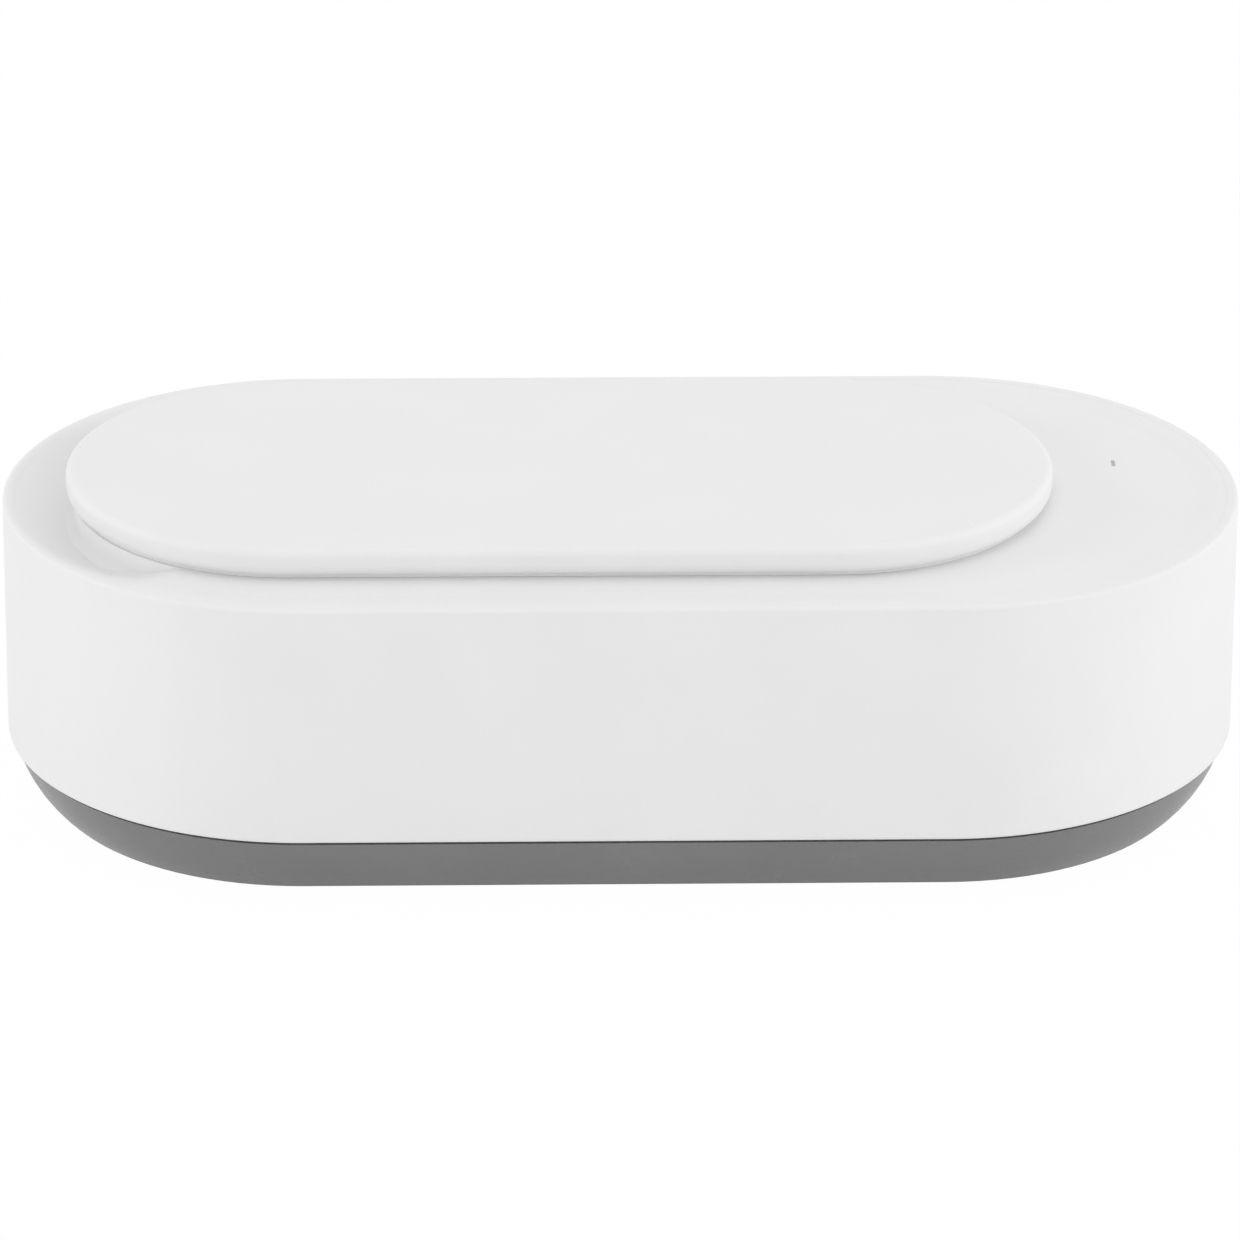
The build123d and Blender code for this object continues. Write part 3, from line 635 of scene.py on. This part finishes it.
def makePanTool():
    top, flare, corner, count = deck["top"], deck["panRound"], deck["panCorner"], deck["panSteps"]
    plan = grown(lid, flare - deck["panInLid"])
    tool = addOval("panTool", lid["middle"], *plan, top, top + deck["cutPast"])
    straight = top - deck["panFloor"] - flare - corner
    stepCap(tool, top, -1, [*quarterOut(flare, count), (0, straight), *quarterIn(corner, count)])
    return tool


def makeWellTool(x):
    # the seat of the cup's flange, and the hole for the cup through the pan's floor
    radius, level, past = deck["cupSeatRadius"], deck["cupSeatLevel"], deck["cutPast"]
    tool = addRound("wellTool", x, 0, radius, level, deck["panFloor"] + past, sides=128)
    stepCap(tool, level, -1, [(radius - deck["wellRadius"], 0), (0, level - deck["panUnder"] + past)])
    return tool


def addTray(piece):
    # the pan's own walls and floor
    plan = grown(lid, deck["panWall"] - deck["panInLid"])
    tray = addOval("tray", lid["middle"], *plan, deck["panUnder"], shell["ledge"] + deck["rooted"])
    carve(piece, tray, "UNION")


def addScoopPad(piece):
    # thicker plastic below the scoop, round the left end only
    low, high, past = deck["padLow"], shell["ledge"] + deck["rooted"], deck["cutPast"]
    pad = addOval("pad", 0, *grown(shell, -deck["padInCase"]), low, high)
    length, width = shell["length"], shell["width"]
    rest = addBlock("rest", length - straightHalf(shell), 0, 2 * length, width, low - past, high + past)
    carve(pad, rest)
    carve(piece, pad, "UNION")


def addPost(piece, x, y, post):
    low, hole = post["low"], post["holeRadius"]
    bar = addRound("post", x, y, post["radius"], low, shell["ledge"] + deck["rooted"], sides=48)
    stepCap(bar, low, -1, [(post["radius"] - hole, 0), (0, -post["holeDepth"])])
    carve(piece, bar, "UNION")


def makeDeck():
    top, rise, past = deck["top"], deck["marginRise"], deck["cutPast"]
    plan = grown(shell, deck["pressFit"] - shell["lip"])
    piece = addOval("topDeck", 0, *plan, shell["ledge"], top + rise)
    roundEdge(piece, top + rise, deck["edgeRound"], segments=2)
    # its margin rises gently to the rim
    count = deck["marginSteps"]
    heights = [eased(index / count) for index in range(count + 1)]
    falls = [(before - after) * rise for before, after in zip(heights, heights[1:])]
    margin = [(deck["marginSlope"] / count, fall) for fall in falls]
    stepCap(piece, top + rise, 1, [(deck["marginFlat"], 0), *margin])
    addTray(piece)
    addScoopPad(piece)
    for post in posts.values():
        for x, y in post["spots"]:
            addPost(piece, x, y, post)
    carve(piece, makeScoopTool())
    carve(piece, makePanTool())
    for side in (-1, 1):
        carve(piece, makeWellTool(lid["middle"] + side * deck["wellPitch"] / 2))
    slot = (*deck["slotSpot"], deck["slotWidth"], deck["slotLength"])
    carve(piece, addBlock("slotCut", *slot, shell["ledge"] - past, top + past))
    polish(piece, angle=25)
    return piece


# Socket contacts: plated strips that lie a little proud on both faces of the charging socket's tongue
contacts = {
    "count": 12,
    "pitch": 0.5,
    "width": 0.27,
    "length": 3.6,
    "setBack": 0.35,
    "proud": 0.035,
    "edge": 0.05,
}


def makeContacts():
    low, high = (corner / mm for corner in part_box("usb_socket_tongue"))
    pitch, count, proud = contacts["pitch"], contacts["count"], contacts["proud"]
    first = (low.x + high.x - pitch * (count - 1)) / 2
    middle = high.y - contacts["setBack"] - contacts["length"] / 2
    size = (contacts["width"], contacts["length"], low.z - proud, high.z + proud)
    piece = addBlock("socketContacts", first, middle, *size)
    pickAll(piece)
    bpy.ops.mesh.bevel(offset=contacts["edge"] * mm, segments=2, affect="EDGES")
    bpy.ops.mesh.select_all(action="SELECT")
    for step in range(count - 1):
        bpy.ops.mesh.duplicate_move(TRANSFORM_OT_translate={"value": (pitch * mm, 0, 0)})
    closePiece()
    polish(piece)
    return piece


# Case screws: pan heads with a cross recess, seen from below, on shanks that end in a blunt point
caseScrew = {
    "spot": (36.254, 15.067),
    "headRadius": 2.0,
    "shankRadius": 1.1,
    "headLow": 1.0,
    "headHigh": 2.4,
    "end": 18.4,
    "point": 0.8,
    "headRound": 0.35,
    "crossLength": 2.3,
    "crossWidth": 0.5,
    "crossDepth": 0.8,
    "cutPast": 0.2,
}


def makeCaseScrews():
    x, y = caseScrew["spot"]
    head, point = caseScrew["headRadius"], caseScrew["point"]
    low, high = caseScrew["headLow"], caseScrew["headHigh"]
    piece = addRound("caseScrews", x, y, head, low, high, sides=48)
    roundEdge(piece, low, caseScrew["headRound"], segments=5)
    straight = caseScrew["end"] - high - point
    stepCap(piece, high, 1, [(head - caseScrew["shankRadius"], 0), (0, straight), (point / 2, point)])
    length, width = caseScrew["crossLength"], caseScrew["crossWidth"]
    levels = (low - caseScrew["cutPast"], low + caseScrew["crossDepth"])
    for plan in ((length, width), (width, length)):
        carve(piece, addBlock("recess", x, y, *plan, *levels))
    for shift in ((-2 * x * mm, 0, 0), (0, -2 * y * mm, 0)):
        pickAll(piece)
        bpy.ops.mesh.duplicate_move(TRANSFORM_OT_translate={"value": shift})
        closePiece()
    polish(piece)
    return piece


madePieces = {}


def fitPiece(piece, body, slotName, *replaced):
    # the piece moves with its body, in place of the frame's own nodes if it replaces any
    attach(piece, body)
    if replaced:
        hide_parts(*replaced)
    madePieces[piece] = slotName


fitPiece(makeShell(), "case", "case_white", "outer_shell")
print("outer shell made")
fitPiece(makeDeck(), "case", "case_white", "top_deck")
print("top deck made")
fitPiece(makeLidCap(), "lid", "case_white", "lid_cap")
print("lid cap made")
fitPiece(makeContacts(), "case", "socket_steel")
print("socket contacts made")
fitPiece(makeCaseScrews(), "case", "screw_steel", "base_screws")
print("case screws made")


# Finishes: each one is a pattern laid through the piece's own millimetres
def startFinish(name):
    finish = bpy.data.materials.new(name)
    finish.use_nodes = True
    tree = finish.node_tree
    tree.nodes.clear()
    shader = addNode(tree, "ShaderNodeBsdfPrincipled")
    out = addNode(tree, "ShaderNodeOutputMaterial")
    tree.links.new(shader.outputs["BSDF"], out.inputs["Surface"])
    coords = addNode(tree, "ShaderNodeTexCoord").outputs["Object"]
    return finish, tree, shader, coords


def stretched(tree, coords, stretch):
    mapping = addNode(tree, "ShaderNodeMapping", {"Scale": [1 / share for share in stretch]})
    tree.links.new(coords, mapping.inputs["Vector"])
    return mapping.outputs["Vector"]


def clouds(tree, coords, size, detail=3.0):
    # soft cloudy variation, with patches of about the given size
    values = {"Scale": 1 / (size * mm), "Detail": detail, "Roughness": 0.55}
    noise = addNode(tree, "ShaderNodeTexNoise", values)
    tree.links.new(coords, noise.inputs["Vector"])
    return noise.outputs["Fac"]


def cells(tree, coords, size):
    # open cells, as in foam
    voronoi = addNode(tree, "ShaderNodeTexVoronoi", {"Scale": 1 / (size * mm)})
    tree.links.new(coords, voronoi.inputs["Vector"])
    return voronoi.outputs["Distance"]


def bands(tree, coords, pitch, axis, waver=0.0):
    # even ridges across an axis, as wires or strips that lie side by side;
    # the texture's own bands are pi / 10 apart
    wave = addNode(tree, "ShaderNodeTexWave", {"Scale": pi / 10 / (pitch * mm), "Distortion": waver})
    wave.bands_direction = axis
    tree.links.new(coords, wave.inputs["Vector"])
    return wave.outputs["Fac"]


def between(tree, pattern, low, high, start=0.3, end=0.7):
    values = {"From Min": start, "From Max": end, "To Min": low, "To Max": high}
    ranged = addNode(tree, "ShaderNodeMapRange", values)
    tree.links.new(pattern, ranged.inputs["Value"])
    return ranged.outputs["Result"]


def tinted(tree, pattern, dark, light, start=0.3, end=0.7):
    ramp = addNode(tree, "ShaderNodeValToRGB")
    first, last = ramp.color_ramp.elements
    first.position, last.position = start, end
    first.color, last.color = (*dark, 1), (*light, 1)
    tree.links.new(pattern, ramp.inputs["Fac"])
    return ramp.outputs["Color"]


def raised(tree, pattern, height, under=None):
    # relief of a height in millimetres, laid over another relief
    bump = addNode(tree, "ShaderNodeBump", {"Strength": 1.0, "Distance": height * mm})
    tree.links.new(pattern, bump.inputs["Height"])
    if under:
        tree.links.new(under, bump.inputs["Normal"])
    return bump.outputs["Normal"]


def coat(tree, shader, colour, roughness, relief):
    # the three patterns of a finish go onto its shader
    for socket, pattern in (("Base Color", colour), ("Roughness", roughness), ("Normal", relief)):
        tree.links.new(pattern, shader.inputs[socket])


# every plain finish: its dark and light tones, the size of its patches, its lowest and highest
# roughness, the size and height of its grain, and what else its shader needs
plainFinishes = {
    "case_white": ((0.852,) * 3, (0.868,) * 3, 9.0, (0.42, 0.52), 0.22, 0.0012, {}),
    "base_grey": ((0.192,) * 3, (0.207,) * 3, 7.0, (0.2, 0.28), 0.25, 0.002, {}),
    "liner_white": ((0.79, 0.8, 0.8), (0.83, 0.835, 0.84), 6.0, (0.3, 0.42), 0.3, 0.002, {}),
    "seal_silicone": (
        (0.68, 0.7, 0.72),
        (0.76, 0.77, 0.78),
        3.0,
        (0.48, 0.62),
        0.2,
        0.003,
        {"Subsurface Weight": 0.3, "Subsurface Scale": 0.001},
    ),
    "foot_rubber": ((0.022,) * 3, (0.05,) * 3, 1.5, (0.72, 0.9), 0.35, 0.02, {}),
    "disc_ceramic": ((0.72, 0.69, 0.62), (0.8, 0.78, 0.72), 2.5, (0.45, 0.6), 0.12, 0.006, {}),
    "lead_red": ((0.5, 0.015, 0.012), (0.62, 0.035, 0.025), 1.2, (0.32, 0.45), 0.2, 0.004, {}),
    "lead_black": ((0.012,) * 3, (0.028,) * 3, 1.2, (0.32, 0.45), 0.2, 0.004, {}),
    "core_ferrite": ((0.045, 0.045, 0.05), (0.09, 0.09, 0.095), 1.6, (0.5, 0.7), 0.12, 0.012, {}),
    "film_yellow": ((0.6, 0.38, 0.025), (0.7, 0.47, 0.05), 2.0, (0.28, 0.4), 0.4, 0.006, {}),
    "sleeve_black": ((0.012,) * 3, (0.022,) * 3, 2.0, (0.22, 0.34), 0.6, 0.01, {}),
    "chip_black": ((0.02,) * 3, (0.04,) * 3, 0.8, (0.5, 0.66), 0.08, 0.003, {}),
    "socket_nylon": ((0.7, 0.67, 0.6), (0.78, 0.76, 0.7), 1.5, (0.4, 0.52), 0.15, 0.004, {}),
    "led_body": ((0.72, 0.6, 0.22), (0.8, 0.7, 0.3), 0.4, (0.3, 0.45), 0.1, 0.004, {}),
    "light_bar": ((0.38,) * 3, (0.46,) * 3, 0.3, (0.3, 0.4), 0.1, 0.002, {}),
    "screw_steel": ((0.4, 0.4, 0.41), (0.56, 0.56, 0.57), 0.6, (0.25, 0.42), 0.1, 0.006, {"Metallic": 1.0}),
    "socket_steel": ((0.58, 0.57, 0.55), (0.7, 0.69, 0.67), 1.0, (0.2, 0.32), 0.2, 0.003, {"Metallic": 1.0}),
}


def plainFinish(name):
    dark, light, patch, rough, grain, height, extras = plainFinishes[name]
    finish, tree, shader, coords = startFinish(name)
    colour = tinted(tree, clouds(tree, coords, patch), dark, light)
    roughness = between(tree, clouds(tree, coords, patch / 2), *rough)
    relief = raised(tree, clouds(tree, coords, grain, detail=1.0), height)
    coat(tree, shader, colour, roughness, relief)
    for socket, value in extras.items():
        shader.inputs[socket].default_value = value
    return finish


# drawn and turned metal: fine lines that follow how it was worked, and smears in its gloss
workedMetals = {
    "cup_steel": {
        "dark": (0.5, 0.5, 0.51),
        "light": (0.66, 0.66, 0.67),
        "rough": (0.16, 0.3),
        "smear": 4.0,
        "line": (0.05, 0.05, 1.6),
        "height": 0.002,
    },
    "plate_aluminium": {
        "dark": (0.62, 0.62, 0.63),
        "light": (0.76, 0.76, 0.77),
        "rough": (0.28, 0.42),
        "smear": 4.0,
        "line": (0.9, 0.06, 0.06),
        "height": 0.004,
    },
}


def workedMetal(name):
    metal = workedMetals[name]
    finish, tree, shader, coords = startFinish(name)
    lines = clouds(tree, stretched(tree, coords, metal["line"]), 1 / mm, detail=2.0)
    colour = tinted(tree, lines, metal["dark"], metal["light"])
    roughness = between(tree, clouds(tree, coords, metal["smear"]), *metal["rough"])
    coat(tree, shader, colour, roughness, raised(tree, lines, metal["height"]))
    shader.inputs["Metallic"].default_value = 1.0
    return finish


# open-cell foams: the pores are painted darker than the cell walls round them, as painted shade
foams = {
    "pad_foam": {
        "dark": (0.05, 0.05, 0.055),
        "light": (0.14, 0.14, 0.145),
        "cell": 0.35,
        "edges": (0.15, 0.6),
        "height": 0.12,
        "patch": 2.5,
        "rough": (0.8, 0.95),
    },
    "electrode_foam": {
        "dark": (0.08, 0.08, 0.075),
        "light": (0.2, 0.2, 0.19),
        "cell": 0.25,
        "edges": (0.15, 0.6),
        "height": 0.08,
        "patch": 2.5,
        "rough": (0.8, 0.95),
    },
}


def foamFinish(name):
    foam = foams[name]
    finish, tree, shader, coords = startFinish(name)
    poresWithPaintedShade = cells(tree, coords, foam["cell"])
    # the pits of the pores are tinted dark as painted shade, and the cell walls light
    colour = tinted(tree, poresWithPaintedShade, foam["dark"], foam["light"], *foam["edges"])
    roughness = between(tree, clouds(tree, coords, foam["patch"]), *foam["rough"])
    coat(tree, shader, colour, roughness, raised(tree, poresWithPaintedShade, foam["height"]))
    return finish


# circuit board: tracks show as raised, paler lines under the mask, over a fine weave
board = {
    "maskDark": (0.008, 0.075, 0.03),
    "maskLight": (0.014, 0.11, 0.045),
    "maskPatch": 6.0,
    "trackTone": (0.02, 0.19, 0.08),
    "trackShare": 0.1,
    "trackSoft": 0.2,
    "trackShift": 0.37,
    "trackRow": 1.3,
    "trackLength": 5.0,
    "trackHeight": 0.03,
    "weave": 0.25,
    "weaveHeight": 0.004,
    "smear": 1.5,
    "rough": (0.24, 0.36),
}


def boardFinish(name):
    finish, tree, shader, coords = startFinish(name)
    layout = {
        "Scale": 1 / mm,
        "Mortar Size": board["trackShare"],
        "Mortar Smooth": board["trackSoft"],
        "Brick Width": board["trackLength"],
        "Row Height": board["trackRow"],
        "Mortar": (*board["trackTone"], 1),
    }
    tracks = addNode(tree, "ShaderNodeTexBrick", layout)
    tracks.offset = board["trackShift"]
    tree.links.new(coords, tracks.inputs["Vector"])
    mask = tinted(tree, clouds(tree, coords, board["maskPatch"]), board["maskDark"], board["maskLight"])
    tree.links.new(mask, tracks.inputs["Color1"])
    tree.links.new(mask, tracks.inputs["Color2"])
    roughness = between(tree, clouds(tree, coords, board["smear"]), *board["rough"])
    weave = raised(tree, clouds(tree, coords, board["weave"]), board["weaveHeight"])
    relief = raised(tree, tracks.outputs["Fac"], board["trackHeight"], weave)
    coat(tree, shader, tracks.outputs["Color"], roughness, relief)
    return finish


# transformer winding: enamelled wire, turn beside turn; its colour is painted darker in the grooves between
# turns and lighter on their crowns, as painted shade and painted highlight
winding = {
    "dark": (0.32, 0.085, 0.025),
    "light": (0.72, 0.27, 0.09),
    "wire": 0.3,
    "waver": 0.4,
    "height": 0.1,
    "smear": 1.5,
    "rough": (0.22, 0.36),
    "metal": 0.85,
}


def windingFinish(name):
    finish, tree, shader, coords = startFinish(name)
    turns = bands(tree, coords, winding["wire"], "Z", winding["waver"])
    # painted shade in the grooves between turns and painted highlight along their crowns
    colour = tinted(tree, turns, winding["dark"], winding["light"])
    roughness = between(tree, clouds(tree, coords, winding["smear"]), *winding["rough"])
    coat(tree, shader, colour, roughness, raised(tree, turns, winding["height"]))
    shader.inputs["Metallic"].default_value = winding["metal"]
    return finish


# battery pouch: laminated foil, softly wrinkled over the cell inside, its tone painted darker in the
# wrinkles' hollows as painted shade
pouch = {
    "dark": (0.42, 0.43, 0.45),
    "light": (0.62, 0.63, 0.65),
    "wrinkle": 3.5,
    "stretch": (1.0, 2.2, 1.0),
    "height": 0.12,
    "grain": 0.15,
    "grainHeight": 0.004,
    "rough": (0.28, 0.44),
    "metal": 0.9,
}


def pouchFinish(name):
    finish, tree, shader, coords = startFinish(name)
    wrinklesWithPaintedShade = clouds(tree, stretched(tree, coords, pouch["stretch"]), pouch["wrinkle"])
    grain = clouds(tree, coords, pouch["grain"], detail=1.0)
    # the foil's tone follows its folds: painted shade in their hollows, lighter on their crests
    colour = tinted(tree, wrinklesWithPaintedShade, pouch["dark"], pouch["light"])
    roughness = between(tree, wrinklesWithPaintedShade, *pouch["rough"])
    folds = raised(tree, wrinklesWithPaintedShade, pouch["height"])
    coat(tree, shader, colour, roughness, raised(tree, grain, pouch["grainHeight"], folds))
    shader.inputs["Metallic"].default_value = pouch["metal"]
    return finish


# ribbon cable: copper strips side by side under amber film
ribbon = {
    "gap": (0.42, 0.16, 0.02),
    "strip": (0.66, 0.36, 0.12),
    "edges": (0.4, 0.6),
    "pitch": 0.5,
    "height": 0.02,
    "smear": 1.0,
    "rough": (0.2, 0.34),
}


def ribbonFinish(name):
    finish, tree, shader, coords = startFinish(name)
    strips = bands(tree, coords, ribbon["pitch"], "Y")
    colour = tinted(tree, strips, ribbon["gap"], ribbon["strip"], *ribbon["edges"])
    roughness = between(tree, clouds(tree, coords, ribbon["smear"]), *ribbon["rough"])
    coat(tree, shader, colour, roughness, raised(tree, strips, ribbon["height"]))
    return finish


finishMakers = {
    **{name: plainFinish for name in plainFinishes},
    **{name: workedMetal for name in workedMetals},
    **{name: foamFinish for name in foams},
    "board_green": boardFinish,
    "winding_copper": windingFinish,
    "battery_foil": pouchFinish,
    "ribbon_film": ribbonFinish,
}
finishes = {name: maker(name) for name, maker in finishMakers.items()}


def dress():
    # the frame's nodes go by the names of their slots, and the made pieces by what they were given
    for node in nodes.values():
        for slot in node.material_slots:
            slot.material = finishes[slot.name]
    for piece, slotName in madePieces.items():
        piece.data.materials.append(finishes[slotName])


dress()
print("finishes laid:", len(finishes))
